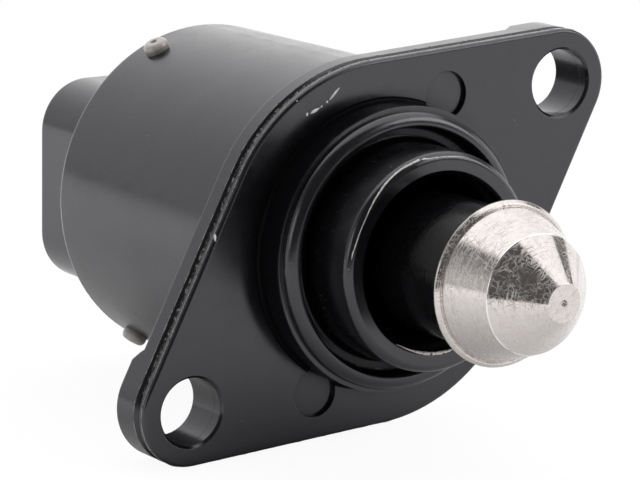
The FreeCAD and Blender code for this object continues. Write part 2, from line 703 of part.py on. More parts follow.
def return_spring():
    """Compression spring that takes up the play of the thread."""
    start = POCKET_FRONT + SPRING_SEAT_GAP + SPRING_WIRE
    end = SLEEVE_WALL_REAR - SPRING_SEAT_GAP - SPRING_WIRE
    length = end - start
    helix = Part.makeHelix(length / SPRING_TURNS, length, SPRING_RADIUS)
    section = Part.Wire([Part.makeCircle(SPRING_WIRE, Vector(SPRING_RADIUS, 0, 0), Vector(0, 1, 0))])
    wound = Part.Wire(helix.Edges).makePipeShell([section], True, True)
    wound.rotate(ORIGIN, Vector(0, 1, 0), 90)
    wound.translate(Vector(start, 0, 0))
    return wound


def save(name, shape):
    """Write one node's solids to its own file."""
    shape.exportStep(os.path.join("parts", name + ".step"))


def main():
    """Build every piece of the valve and write it."""
    os.makedirs("parts", exist_ok=True)
    front = STATOR_FRONT
    front_end = STATOR_FRONT - module_length()
    rear_start = STATOR_REAR + module_length()
    rear = STATOR_REAR
    terminals = [terminal(i) for i in range(TERMINAL_COUNT)]
    pieces = {
        "housing": housing(terminals),
        "front_cover": front_cover(),
        "front_stator_cup": stator_cup(front, front_end),
        "front_stator_plate": stator_plate(front_end, front),
        "rear_stator_cup": stator_cup(rear, rear_start),
        "rear_stator_plate": stator_plate(rear_start, rear),
        "front_bobbin": bobbin(front_end, front),
        "rear_bobbin": bobbin(rear, rear_start),
        "front_coil": coil(front_end, front),
        "rear_coil": coil(rear, rear_start),
        "bearing_outer_race": bearing_outer_race(),
        "bearing_inner_race": bearing_inner_race(),
        "bearing_balls": bearing_balls(),
        "ball_cage": ball_cage(),
        "rear_bush": rear_bush(),
        "spring_seat": spring_seat(),
        "rotor_magnet": rotor_magnet(),
        "rotor_hub": rotor_hub(),
        "lead_screw": lead_screw(),
        "plunger_sleeve": plunger_sleeve(),
        "pintle_cone": pintle_cone(),
        "return_spring": return_spring(),
    }
    for i, shape in enumerate(terminals):
        pieces["terminal_%d" % (i + 1)] = shape
    for name, shape in pieces.items():
        save(name, shape)


main()
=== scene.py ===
"""Looks of the idle air control valve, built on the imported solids.

Lengths in this file are millimetres unless a name or a comment says otherwise, and every mesh is written
in metres. The valve's axis is +X, the flange's mounting face is X = 0 and +Z is up.
"""
from __future__ import annotations

import logging
import math
from dataclasses import dataclass
from enum import Enum
from functools import partial
from typing import Any, Callable, Iterable, Sequence

import bpy
from mathutils import Matrix, Vector, noise


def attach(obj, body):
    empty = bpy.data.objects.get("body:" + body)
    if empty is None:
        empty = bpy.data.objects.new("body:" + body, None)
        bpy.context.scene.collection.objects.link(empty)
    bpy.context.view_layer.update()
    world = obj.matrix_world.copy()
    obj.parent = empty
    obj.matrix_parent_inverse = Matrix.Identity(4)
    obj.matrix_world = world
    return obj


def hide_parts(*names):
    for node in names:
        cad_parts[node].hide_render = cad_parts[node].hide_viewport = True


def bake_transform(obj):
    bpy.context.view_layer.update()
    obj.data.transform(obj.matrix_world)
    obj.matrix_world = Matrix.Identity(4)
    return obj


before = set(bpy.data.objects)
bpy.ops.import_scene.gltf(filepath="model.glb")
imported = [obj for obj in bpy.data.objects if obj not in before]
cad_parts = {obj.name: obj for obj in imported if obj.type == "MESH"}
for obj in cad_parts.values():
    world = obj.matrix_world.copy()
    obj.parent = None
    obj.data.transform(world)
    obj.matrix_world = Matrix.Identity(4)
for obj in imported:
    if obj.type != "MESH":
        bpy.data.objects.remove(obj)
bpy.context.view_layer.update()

LOG = logging.getLogger("valve")
MM = 0.001
PER_METRE = 1000.0

Point = tuple[float, float, float]
Corners = Sequence[Sequence[float]]
Surface = tuple[list[Point], list[list[int]]]
AddNode = Callable[..., bpy.types.Node]


def linear(hex_colour: str) -> tuple[float, float, float, float]:
    """Turn an sRGB hex colour into Blender's linear colour.

    Args:
        hex_colour: Six hex digits after a hash sign.

    Returns:
        Red, green, blue and an alpha of 1.
    """
    parts = [int(hex_colour[i:i + 2], 16) / 255.0 for i in (1, 3, 5)]
    red, green, blue = (c / 12.92 if c <= 0.04045 else ((c + 0.055) / 1.055) ** 2.4 for c in parts)
    return red, green, blue, 1.0


def socket(sockets: Any, name: str | int) -> Any:
    """Find a socket that is in use.

    Args:
        sockets: Inputs or outputs of a node.
        name: The socket's name, or its number where several share a name.

    Returns:
        The socket.
    """
    if isinstance(name, int):
        return sockets[name]
    return next(s for s in sockets if s.enabled and s.name == name)


def add_node(tree: bpy.types.NodeTree, kind: str, settings: dict[Any, Any] | None = None,
             links: dict[Any, Any] | None = None) -> bpy.types.Node:
    """Add one node with its settings and its incoming links.

    Args:
        tree: Node tree that takes the node.
        kind: Blender's name for the node's type, without the words it starts with.
        settings: Values by the name of a property, or else of an input socket.
        links: Nodes or output sockets by the input that they feed. A node gives its first output in use.

    Returns:
        The new node.
    """
    node = tree.nodes.new("ShaderNode" + kind)
    for name, value in (settings or {}).items():
        if isinstance(name, str) and hasattr(node, name):
            setattr(node, name, value)
        else:
            socket(node.inputs, name).default_value = value
    for name, source in (links or {}).items():
        if isinstance(source, bpy.types.Node):
            source = next(s for s in source.outputs if s.enabled)
        tree.links.new(source, socket(node.inputs, name))
    return node


def place_in_mm(add: AddNode, stretch: Point = (1.0, 1.0, 1.0), turn_deg: Point = (0.0, 0.0, 0.0)) -> bpy.types.Node:
    """Place on the object in millimetres.

    Args:
        add: Adds a node to the material's tree.
        stretch: Further scale along each axis, under 1 to draw a pattern out along it.
        turn_deg: Turn of the pattern about each axis, in degrees.

    Returns:
        The node with the coordinates.
    """
    return add("Mapping", {"Scale": tuple(PER_METRE * s for s in stretch),
                           "Rotation": tuple(math.radians(t) for t in turn_deg)},
               {"Vector": add("TexCoord").outputs["Object"]})


def off_axis(add: AddNode, place: bpy.types.Node) -> bpy.types.Node:
    """Measure how far each place lies from the valve's axis."""
    across = add("VectorMath", {"operation": "MULTIPLY", 1: (0.0, 1.0, 1.0)}, {0: place})
    return add("VectorMath", {"operation": "LENGTH"}, {0: across})


def dust_specks(add: AddNode, place: bpy.types.Node, spacing_mm: float, radius_mm: float,
                share: float) -> bpy.types.Node:
    """Scatter small round specks.

    Args:
        add: Adds a node to the material's tree.
        place: Node with the place in millimetres.
        spacing_mm: Mean distance between the places that may hold a speck.
        radius_mm: Radius of a speck.
        share: Share of the places that hold one.

    Returns:
        The node whose value is 1 on a speck.
    """
    cells = add("TexVoronoi", {"Scale": 1.0 / spacing_mm}, {"Vector": place})
    spot = radius_mm / spacing_mm
    near = add("MapRange", {"From Min": spot, "From Max": 0.6 * spot}, {"Value": cells})
    draw = add("SeparateColor", None, {"Color": cells.outputs["Color"]})
    chosen = add("Math", {"operation": "LESS_THAN", 1: share}, {0: draw})
    return add("Math", {"operation": "MULTIPLY"}, {0: near, 1: chosen})


@dataclass(frozen=True)
class Finish:
    """A finish, named for the real material. Each kind draws its own shader."""

    name: str

    def shader(self, add: AddNode) -> bpy.types.Node:
        """Build the shader, which each kind of finish does in its own way."""
        raise NotImplementedError

    def material(self) -> bpy.types.Material:
        """Make the material round the shader.

        Returns:
            The material.
        """
        material = bpy.data.materials.new(self.name)
        material.use_nodes = True
        material.node_tree.nodes.clear()
        add = partial(add_node, material.node_tree)
        add("OutputMaterial", None, {"Surface": self.shader(add)})
        return material


@dataclass(frozen=True)
class GlassFilledNylon(Finish):
    """Glass-filled nylon 66, injection moulded in a polished tool, and handled.

    The eye gets near black with a soft gloss, a faint sink and swell of the skin, a fine fibre grain that dulls it in
    clouds, hair-fine scuffs, a few specks of dust and light along every worn edge. Corners and the foot of the
    shoulder's wall have their shine cut down as painted shade, and the tops of the rear nubs are pale as a painted
    highlight.
    """

    name: str = "glass_filled_nylon_moulded"
    dark: str = "#0a0a0c"
    pale: str = "#121215"
    dust: str = "#96908b"
    # Pale colour on the tops of the rear nubs, a painted highlight
    nub_pale_highlight: str = "#b8b1ac"
    sheen_tint: str = "#f7f6ff"
    ior: float = 1.58
    roughness: float = 0.2
    # Change of the roughness from the duller clouds to the clearer ones
    cloud_gloss: tuple[float, float] = (-0.03, 0.05)
    cloud_mm: float = 2.2
    # Real fibres are 0.01 mm thick, which is under a pixel, so the grain is drawn ten times as coarse
    fibre_mm: float = 0.14
    fibre_depth: float = 0.0025
    swell_mm: float = 7.0
    swell_depth: float = 0.05
    scuff_mm: float = 0.12
    scuff_stretch: Point = (0.12, 1.0, 1.0)
    scuff_turn_deg: Point = (0.0, 35.0, 20.0)
    scuff_dulling: float = 0.1
    speck_spacing: float = 1.9
    speck_radius: float = 0.07
    speck_share: float = 0.1
    worn_edge: float = 0.12
    corner_mm: float = 3.0
    corner_shine: float = 0.06
    open_shine: float = 0.65
    nub_station: float = -29.0
    nub_radius: float = 17.4
    nub_angles: tuple[float, ...] = (115.5, 235.5, 355.5)
    nub_reach: float = 1.65
    nub_fade: float = 0.4
    # The band of painted shade at the foot of the shoulder's wall: where it lies, and the share of shine that it keeps
    wall_radius: float = 13.7
    wall_band: float = 0.43
    wall_start: float = -0.05
    wall_foot: float = 3.2
    foot_fade: float = 0.2
    foot_shine: float = 0.04

    def painted_nub_highlights(self, add: AddNode, place: bpy.types.Node) -> bpy.types.Node:
        """Mark the tops of the rear nubs, which are pale as a painted highlight.

        Args:
            add: Adds a node to the material's tree.
            place: Node with the place in millimetres.

        Returns:
            The node whose value is the share of the painted highlight.
        """
        marked = None
        for angle in self.nub_angles:
            top = on_circle(self.nub_station, self.nub_radius, math.radians(angle))
            off = add("VectorMath", {"operation": "DISTANCE", 1: top}, {0: place})
            near = add("MapRange", {"From Min": self.nub_reach, "From Max": self.nub_reach - self.nub_fade},
                       {"Value": off})
            marked = near if marked is None else add("Math", {"operation": "MAXIMUM"}, {0: near, 1: marked})
        return marked

    def shine_after_painted_shade(self, add: AddNode, place: bpy.types.Node) -> bpy.types.Node:
        """Mark where the skin shines, which the foot of the shoulder's wall doesn't: there the shine is cut as painted
        shade.

        Args:
            add: Adds a node to the material's tree.
            place: Node with the place in millimetres.

        Returns:
            The node whose value is the share of shine.
        """
        reach = off_axis(add, place)
        axis = add("SeparateXYZ", None, {"Vector": place})
        # Painted shade: a band at the foot of the shoulder's wall loses its shine
        painted_foot_shade = add("MapRange", {"From Min": self.wall_foot + self.foot_fade,
                                 "From Max": self.wall_foot - self.foot_fade}, {"Value": axis})
        for source, test, bound in ((reach, "GREATER_THAN", self.wall_radius), (axis, "GREATER_THAN", self.wall_start),
                                    (reach, "LESS_THAN", self.wall_radius + self.wall_band)):
            within = add("Math", {"operation": test, 1: bound}, {0: source})
            painted_foot_shade = add("Math", {"operation": "MULTIPLY"}, {0: painted_foot_shade, 1: within})
        return add("MapRange", {"To Min": 1.0, "To Max": self.foot_shine}, {"Value": painted_foot_shade})

    def shader(self, add: AddNode) -> bpy.types.Node:
        """Build the shader.

        Args:
            add: Adds a node to the material's tree.

        Returns:
            The shader.
        """
        place = place_in_mm(add)
        clouds = add("TexNoise", {"Scale": 1.0 / self.cloud_mm, "Detail": 4.0, "Roughness": 0.6}, {"Vector": place})
        skin = add("Mix", {"data_type": "RGBA", "A": linear(self.dark), "B": linear(self.pale)}, {"Factor": clouds})
        specks = dust_specks(add, place, self.speck_spacing, self.speck_radius, self.speck_share)
        dotted = add("Mix", {"data_type": "RGBA", "B": linear(self.dust)}, {"Factor": specks, "A": skin})
        # Pale nub tops: a painted highlight mixed into the colour
        colour = add("Mix", {"data_type": "RGBA", "B": linear(self.nub_pale_highlight)},
                     {"Factor": self.painted_nub_highlights(add, place), "A": dotted})
        low, high = (self.roughness + change for change in self.cloud_gloss)
        gloss = add("MapRange", {"From Min": 0.3, "From Max": 0.7, "To Min": low, "To Max": high}, {"Value": clouds})
        along = place_in_mm(add, self.scuff_stretch, self.scuff_turn_deg)
        scuffs = add("TexNoise", {"Scale": 1.0 / self.scuff_mm, "Detail": 1.0}, {"Vector": along})
        worn = add("MapRange", {"From Min": 0.7, "From Max": 0.78, "To Max": self.scuff_dulling}, {"Value": scuffs})
        dulled = add("Math", {"operation": "ADD"}, {0: gloss, 1: worn})
        dusty = add("Math", {"operation": "MAXIMUM"}, {0: dulled, 1: specks})
        swell = add("TexNoise", {"Scale": 1.0 / self.swell_mm, "Detail": 1.0}, {"Vector": place})
        edges = add("Bevel", {"samples": 4, "Radius": self.worn_edge * MM})
        broad = add("Bump", {"Distance": self.swell_depth * MM}, {"Height": swell, "Normal": edges})
        fibres = add("TexNoise", {"Scale": 1.0 / self.fibre_mm, "Detail": 2.0}, {"Vector": place})
        fine = add("Bump", {"Distance": self.fibre_depth * MM}, {"Height": fibres, "Normal": broad})
        # Occlusion cuts the shine in corners and recesses: painted shade
        nook = add("AmbientOcclusion", {"samples": 6, "Distance": self.corner_mm * MM})
        shine_after_painted_corner_shade = add("MapRange", {"From Min": 0.3, "From Max": 0.72, "To Min": self.corner_shine,
                                 "To Max": self.open_shine}, {"Value": nook.outputs["AO"]})
        shine_after_painted_shade = add("Math", {"operation": "MULTIPLY"}, {0: shine_after_painted_corner_shade, 1: self.shine_after_painted_shade(add, place)})
        return add("BsdfPrincipled", {"IOR": self.ior, "Specular Tint": linear(self.sheen_tint)},
                   {"Base Color": colour, "Roughness": dusty, "Normal": fine, "Specular IOR Level": shine_after_painted_shade})


@dataclass(frozen=True)
class WeldFlash(Finish):
    """Nylon squeezed out of the joint between cover and housing, and frozen rough.

    The eye gets a dull black bead, torn and pitted, with paler torn lips that catch the light.
    """

    name: str = "nylon_weld_flash"
    dark: str = "#0b0b0c"
    torn: str = "#85827f"
    ior: float = 1.58
    specular: float = 0.16
    roughness: float = 0.3
    gloss_swing: float = 0.12
    tear_mm: float = 0.4
    pit_mm: float = 0.2
    pit_depth: float = 0.07

    def shader(self, add: AddNode) -> bpy.types.Node:
        """Build the shader.

        Args:
            add: Adds a node to the material's tree.

        Returns:
            The shader.
        """
        place = place_in_mm(add)
        tears = add("TexNoise", {"Scale": 1.0 / self.tear_mm, "Detail": 3.0, "Roughness": 0.6}, {"Vector": place})
        lips = add("MapRange", {"From Min": 0.54, "From Max": 0.62}, {"Value": tears})
        colour = add("Mix", {"data_type": "RGBA", "A": linear(self.dark), "B": linear(self.torn)}, {"Factor": lips})
        gloss = add("MapRange", {"From Min": 0.3, "From Max": 0.7, "To Min": self.roughness - self.gloss_swing,
                                 "To Max": self.roughness + self.gloss_swing}, {"Value": tears})
        pits = add("TexNoise", {"Scale": 1.0 / self.pit_mm, "Detail": 2.0}, {"Vector": place})
        rough = add("Bump", {"Distance": self.pit_depth * MM}, {"Height": pits})
        return add("BsdfPrincipled", {"IOR": self.ior, "Specular IOR Level": self.specular},
                   {"Base Color": colour, "Roughness": gloss, "Normal": rough})


@dataclass(frozen=True)
class WhitenedNylonAndPaintedHighlight(Finish):
    """Nylon that was nicked or bent over, so that it has turned pale along the tear. On the burrs and the seam's lips
    the pale colour is a painted highlight.

    The eye gets a thin pale grey line or chip, broken by darker gaps.
    """

    name: str = "nylon_stress_pale_mark"
    pale: str = "#e6dfd9"
    dark: str = "#5a5755"
    ior: float = 1.53
    roughness: float = 0.35
    gap_mm: float = 0.35
    tear_depth: float = 0.01

    def shader(self, add: AddNode) -> bpy.types.Node:
        """Build the shader.

        Args:
            add: Adds a node to the material's tree.

        Returns:
            The shader.
        """
        place = place_in_mm(add)
        gaps = add("TexNoise", {"Scale": 1.0 / self.gap_mm, "Detail": 3.0}, {"Vector": place})
        share = add("MapRange", {"From Min": 0.55, "From Max": 0.66}, {"Value": gaps})
        colour = add("Mix", {"data_type": "RGBA", "A": linear(self.pale), "B": linear(self.dark)}, {"Factor": share})
        torn = add("Bump", {"Distance": self.tear_depth * MM}, {"Height": gaps})
        return add("BsdfPrincipled", {"IOR": self.ior, "Roughness": self.roughness},
                   {"Base Color": colour, "Normal": torn})


@dataclass(frozen=True)
class TurnedNickel(Finish):
    """Nickel plate over a turned cap, knocked about in a bag of parts.

    The eye gets a pale, slightly warm mirror. Tool rings run round it, scratches cross them in patches, and
    each scratch spreads the reflection, so it shows as a light thread where the mirror shows a dark room.
    """

    name: str = "nickel_plate_turned"
    pale: str = "#d7d0cc"
    dull: str = "#c2bcb9"
    tarnish: str = "#8f8a87"
    mirror: float = 0.07
    shallow_cone_dulling: float = 0.06
    knee_x: float = 24.6
    knee_fade: float = 0.1
    rim_x: float = 19.66
    rim_fade: float = 0.03
    worn_edge: float = 0.16
    centre_radius: float = 0.5
    centre_fade: float = 0.1
    centre_dulling: float = 0.35
    # Feed of the lathe is 0.05 mm, under a pixel, so its rings are drawn three times as far apart
    ring_mm: float = 0.16
    scratch_mm: float = 0.13
    scratch_length_mm: float = 1.3
    scratch_turns: tuple[float, ...] = (12.0, 58.0, -40.0)
    scratch_dulling: float = 0.45
    scratch_depth: float = 0.004
    # Share of the marks' depth that is left where the cone is scratched least
    quiet_share: float = 0.5
    patch_mm: float = 2.6
    mottle_mm: float = 0.42
    hair_mm: tuple[float, ...] = (1.4, 0.8)
    hair_share: float = 0.006
    unrolled_radius: float = 5.0

    def unrolled(self, add: AddNode, place: bpy.types.Node) -> bpy.types.Node:
        """Lay the skin of the cone out flat, so that scratches run along it.

        Args:
            add: Adds a node to the material's tree.
            place: Node with the place in millimetres.

        Returns:
            The node with the way along the axis and the way round it, in millimetres.
        """
        # The far side, +Y, takes the join of the two ends
        far = add("VectorMath", {"operation": "SCALE", "Scale": -1.0}, {0: place})
        apart = add("SeparateXYZ", None, {"Vector": far})
        angle = add("Math", {"operation": "ARCTAN2"}, {0: apart.outputs["Z"], 1: apart.outputs["Y"]})
        around = add("Math", {"operation": "MULTIPLY", 1: self.unrolled_radius}, {0: angle})
        return add("CombineXYZ", None, {"X": apart, "Y": around})

    def marks(self, add: AddNode, place: bpy.types.Node) -> bpy.types.Node:
        """Draw the tool rings, the straight scratches and the curled hairs.

        Args:
            add: Adds a node to the material's tree.
            place: Node with the place in millimetres.

        Returns:
            The node whose value is 1 on a mark.
        """
        slim = self.scratch_mm / self.scratch_length_mm
        skin = self.unrolled(add, place)
        ringed = add("VectorMath", {"operation": "MULTIPLY", 1: (1.0, slim, 1.0)}, {0: skin})
        rings = add("TexNoise", {"Scale": 1.0 / self.ring_mm, "Detail": 1.0}, {"Vector": ringed})
        found = add("MapRange", {"From Min": 0.58, "From Max": 0.66}, {"Value": rings})
        for turn in self.scratch_turns:
            turned = add("VectorRotate", {"rotation_type": "Z_AXIS", "Angle": math.radians(turn)}, {"Vector": skin})
            drawn = add("VectorMath", {"operation": "MULTIPLY", 1: (slim, 1.0, 1.0)}, {0: turned})
            lines = add("TexNoise", {"Scale": 1.0 / self.scratch_mm, "Detail": 1.0}, {"Vector": drawn})
            scratch = add("MapRange", {"From Min": 0.64, "From Max": 0.74}, {"Value": lines})
            found = add("Math", {"operation": "MAXIMUM"}, {0: found, 1: scratch})
        for size in self.hair_mm:
            turned = place_in_mm(add, turn_deg=(90.0 * size, 30.0, 0.0))
            field = add("TexNoise", {"Scale": 1.0 / size, "Detail": 2.0, "Distortion": 0.5}, {"Vector": turned})
            # A hair lies where the noise passes its middle value
            hair = add("Math", {"operation": "COMPARE", 1: 0.5, 2: self.hair_share}, {0: field})
            found = add("Math", {"operation": "MAXIMUM"}, {0: found, 1: hair})
        return found

    def shader(self, add: AddNode) -> bpy.types.Node:
        """Build the shader.

        Args:
            add: Adds a node to the material's tree.

        Returns:
            The shader.
        """
        place = place_in_mm(add)
        mottle = add("TexNoise", {"Scale": 1.0 / self.mottle_mm, "Detail": 5.0, "Roughness": 0.65}, {"Vector": place})
        plate = add("Mix", {"data_type": "RGBA", "A": linear(self.dull), "B": linear(self.pale)}, {"Factor": mottle})
        patches = add("TexNoise", {"Scale": 1.0 / self.patch_mm, "Detail": 2.0}, {"Vector": place})
        crossed = add("MapRange", {"From Min": 0.38, "From Max": 0.58, "To Min": self.quiet_share}, {"Value": patches})
        worn = add("Math", {"operation": "MULTIPLY"}, {0: self.marks(add, place), 1: crossed})
        axis = add("SeparateXYZ", None, {"Vector": place})
        centre = add("MapRange", {"From Min": self.centre_radius, "From Max": self.centre_radius - self.centre_fade,
                                  "To Max": self.centre_dulling}, {"Value": off_axis(add, place)})
        rim = add("MapRange", {"From Min": self.rim_x, "From Max": self.rim_x - self.rim_fade}, {"Value": axis})
        dirty = add("Math", {"operation": "MULTIPLY"}, {0: rim, 1: mottle})
        metal = add("Mix", {"data_type": "RGBA", "B": linear(self.tarnish)}, {"Factor": dirty, "A": plate})
        behind = add("MapRange", {"From Min": self.knee_x + self.knee_fade, "From Max": self.knee_x - self.knee_fade,
                                  "To Min": self.mirror, "To Max": self.mirror + self.shallow_cone_dulling},
                     {"Value": axis})
        soft = add("Math", {"operation": "MULTIPLY_ADD", 1: self.scratch_dulling}, {0: worn, 2: behind})
        gloss = add("Math", {"operation": "MAXIMUM"}, {0: soft, 1: centre})
        edges = add("Bevel", {"samples": 6, "Radius": self.worn_edge * MM})
        dents = add("Bump", {"Distance": self.scratch_depth * MM}, {"Height": worn, "Normal": edges})
        return add("BsdfPrincipled", {"Metallic": 1.0}, {"Base Color": metal, "Roughness": gloss, "Normal": dents})


class Grain(Enum):
    """How the grain of a plain finish lies."""

    SPECKLED = (1.0, 1.0, 1.0)
    ROUND_THE_AXIS = (1.0, 0.08, 0.08)
    ALONG_THE_AXIS = (0.08, 1.0, 1.0)


@dataclass(frozen=True)
class PlainFinish(Finish):
    """A finish of one stuff with a fine grain, for the pieces inside the body and in the socket."""

    dark: str
    pale: str
    grain_mm: float
    depth_mm: float
    roughness: float
    metallic: float = 0.0
    grain: Grain = Grain.SPECKLED
    specular: float = 0.5
    gloss_swing: float = 0.06

    def shader(self, add: AddNode) -> bpy.types.Node:
        """Build the shader.

        Args:
            add: Adds a node to the material's tree.

        Returns:
            The shader.
        """
        place = place_in_mm(add, self.grain.value)
        grains = add("TexNoise", {"Scale": 1.0 / self.grain_mm, "Detail": 3.0, "Roughness": 0.6}, {"Vector": place})
        share = add("MapRange", {"From Min": 0.35, "From Max": 0.65}, {"Value": grains})
        colour = add("Mix", {"data_type": "RGBA", "A": linear(self.dark), "B": linear(self.pale)}, {"Factor": share})
        gloss = add("MapRange", {"To Min": self.roughness - self.gloss_swing,
                                 "To Max": self.roughness + self.gloss_swing}, {"Value": share})
        skin = add("Bump", {"Distance": self.depth_mm * MM}, {"Height": grains})
        return add("BsdfPrincipled", {"Metallic": self.metallic, "Specular IOR Level": self.specular},
                   {"Base Color": colour, "Roughness": gloss, "Normal": skin})


def dress(nodes: Iterable[str], finish: Finish) -> None:
    """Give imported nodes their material.

    Args:
        nodes: Names of the nodes.
        finish: Finish of all their faces.
    """
    material = finish.material()
    for name in nodes:
        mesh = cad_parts[name].data
        mesh.materials.clear()
        mesh.materials.append(material)
        LOG.info("%s wears %s", name, material.name)


def full_turn(count: int) -> list[float]:
    """Angles that divide a full turn evenly."""
    return [2 * math.pi * k / count for k in range(count)]


def on_circle(x: float, radius: float, angle: float) -> Point:
    """Point at a station, a radius and an angle about the axis."""
    return x, radius * math.cos(angle), radius * math.sin(angle)


def skin_of(rings: Corners, closed: bool, capped: bool = False) -> Surface:
    """Join rings of points into one surface.

    Args:
        rings: Closed rings with equally many points each, in order along the piece.
        closed: Whether the last ring joins the first one.
        capped: Whether the two end rings are filled.

    Returns:
        The points and the faces.
    """
    size = len(rings[0])
    points = [point for ring in rings for point in ring]
    faces = []
    for i in range(len(rings) if closed else len(rings) - 1):
        here = i * size
        there = (i + 1) % len(rings) * size
        for k in range(size):
            after = (k + 1) % size
            faces.append([here + k, here + after, there + after, there + k])
    if capped:
        last = (len(rings) - 1) * size
        faces.append(list(range(size))[::-1])
        faces.append([last + k for k in range(size)])
    return points, faces


def add_piece(name: str, surface: Surface, body: str | None, material: bpy.types.Material,
              replaced: str | None = None) -> bpy.types.Object:
    """Make a piece from a surface in millimetres, and hang it on its body.

    Args:
        name: The piece's name.
        surface: Its points and faces.
        body: CAD body that it rides on, or none to leave it on no body.
        material: Its material.
        replaced: CAD node that it stands for.

    Returns:
        The piece.
    """
    points, faces = surface
    mesh = bpy.data.meshes.new(name)
    mesh.from_pydata([[c * MM for c in point] for point in points], [], faces)
    mesh.validate()
    mesh.shade_smooth()
    mesh.materials.append(material)
    piece = bpy.data.objects.new(name, mesh)
    bpy.context.scene.collection.objects.link(piece)
    if body:
        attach(piece, body)
    if replaced:
        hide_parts(replaced)
    LOG.info("%s: %d points", name, len(points))
    return piece


@dataclass
class FlangeOutline:
    """Diamond outline of the flange: a round middle and two rounded ears joined by straight sides."""

    half_pitch: float = 25.0
    lean_deg: float = 33.3
    ear_radius: float = 5.25
    middle_radius: float = 17.7

    def walk(self, step: float) -> list[tuple[float, float, float, float]]:
        """Go once round the outline.

        Args:
            step: Distance between two points.

        Returns:
            For each point its y and z, and the y and z of the direction that points outwards.
        """
        lean = math.asin((self.middle_radius - self.ear_radius) / self.half_pitch)
        straight = self.half_pitch * math.cos(lean)
        found = []
        for side in (0.0, math.pi):
            way = side + math.radians(self.lean_deg)
            ear_y, ear_z = self.half_pitch * math.cos(way), self.half_pitch * math.sin(way)
            start, end, after = way - math.pi / 2 + lean, way + math.pi / 2 - lean, way + math.pi / 2 + lean
            # Arcs and straight sides run from stop to stop: y and z of the centre, radius and angle
            stops = ((ear_y, ear_z, self.ear_radius, start), (ear_y, ear_z, self.ear_radius, end),
                     (0.0, 0.0, self.middle_radius, end), (0.0, 0.0, self.middle_radius, after),
                     (-ear_y, -ear_z, self.ear_radius, after))
            lengths = (self.ear_radius * (end - start), straight, self.middle_radius * (after - end), straight)
            for first, second, length in zip(stops, stops[1:], lengths):
                count = round(length / step)
                for i in range(count):
                    y, z, radius, angle = (a + (b - a) * i / count for a, b in zip(first, second))
                    out_y, out_z = math.cos(angle), math.sin(angle)
                    found.append((y + radius * out_y, z + radius * out_z, out_y, out_z))
        return found


@dataclass
class JointSeam:
    """Bead of weld flash in the groove between the cover's flange and the housing's, and its two lips."""

    station: float = -1.05
    half_width: float = 0.34
    depth: float = 0.15
    root_depth: float = 0.5
    # Place across the bead and share of the lumps there, and the bead's root under it
    section: Corners = ((-1.0, 0.5), (-0.55, 1.0), (0.0, 1.0), (0.5, 1.0), (1.0, 0.5))
    root: Corners = ((0.5, 0.7), (0.0, 1.0), (-0.5, 0.7))
    section_spread: float = 1.6
    lump_height: float = 0.17
    # Share and size of the coarse lumps and of the fine ones
    lumps: Corners = ((1.0, 0.5), (0.8, 0.2))
    drift: float = 0.06
    drift_mm: float = 1.3
    # The flash ends this far out along the line of the two screw holes, which leans so much from +Y
    run_out: float = 28.6
    lean: float = math.radians(33.3)
    fade_length: float = 1.2
    fade_sink: float = 0.3
    step: float = 0.11
    # Name, station and half width of each lip
    lips: tuple[tuple[str, float, float], ...] = (("seam_front_lip", -0.4, 0.06), ("seam_rear_lip", -1.8, 0.05))
    # Place across a lip and depth there, as shares of its half width
    lip_section: Corners = ((-1.0, 0.6), (-0.5, -0.5), (0.0, -0.9), (0.5, -0.5), (1.0, 0.6))
    lip_sink: float = 0.025
    lip_least: float = 0.15
    lip_swing: float = 1.2
    lip_swing_mm: float = 0.9
    lip_drift: float = 0.04
    lip_drift_mm: float = 2.5
    box_y: float = 26.14
    box_z: float = 18.97

    def boxed(self, x: float, y: float, z: float) -> Point:
        """Keep a point inside the flange's box."""
        return x, max(-self.box_y, min(self.box_y, y)), max(-self.box_z, min(self.box_z, z))

    def lip(self, name: str, station: float, half_width: float, painted_lip_highlight: bpy.types.Material) -> None:
        """Make a hair-thin lip along one edge of the groove, pale as a painted highlight on that edge.

        Args:
            name: The piece's name.
            station: Where it lies along the axis.
            half_width: Half its width.
            painted_lip_highlight: Its material.
        """
        rings = []
        for y, z, out_y, out_z in FlangeOutline().walk(self.step):
            place = Vector((8.0, y, z))
            width = half_width * max(self.lip_least, 1.0 + self.lip_swing * noise.noise(place / self.lip_swing_mm))
            middle = station + self.lip_drift * noise.noise(place / self.lip_drift_mm)
            ring = []
            for across, down in self.lip_section:
                sunk = self.lip_sink + down * width
                ring.append(self.boxed(middle + across * width, y - sunk * out_y, z - sunk * out_z))
            rings.append(ring)
        add_piece(name, skin_of(rings, closed=True), "housing", painted_lip_highlight)

    def build(self) -> None:
        """Make the bead and the lips."""
        # Pale lips: painted highlights along the groove's two edges
        painted_lip_highlight = WhitenedNylonAndPaintedHighlight("nylon_lip_painted_highlight", pale="#a5a3a1", dark="#3a3a3b").material()
        for name, station, half_width in self.lips:
            self.lip(name, station, half_width, painted_lip_highlight)
        rings = []
        for y, z, out_y, out_z in FlangeOutline().walk(self.step):
            along = abs(y * math.cos(self.lean) + z * math.sin(self.lean))
            fade = min(1.0, max(0.0, (self.run_out - along) / self.fade_length))
            ring = []
            for across, share in self.section:
                place = Vector((across * self.section_spread, y, z))
                lump = sum(height * noise.noise(place / size) for height, size in self.lumps)
                ring.append((across * self.half_width, self.depth + share * self.lump_height * lump * fade
                             + self.fade_sink * (1.0 - fade)))
            ring += [(across * self.half_width, share * self.root_depth) for across, share in self.root]
            middle = self.station + self.drift * noise.noise(Vector((y, z, 4.0)) / self.drift_mm)
            rings.append([self.boxed(middle + x, y - down * out_y, z - down * out_z) for x, down in ring])
        add_piece("seam_flash", skin_of(rings, closed=True), "housing", WeldFlash().material())


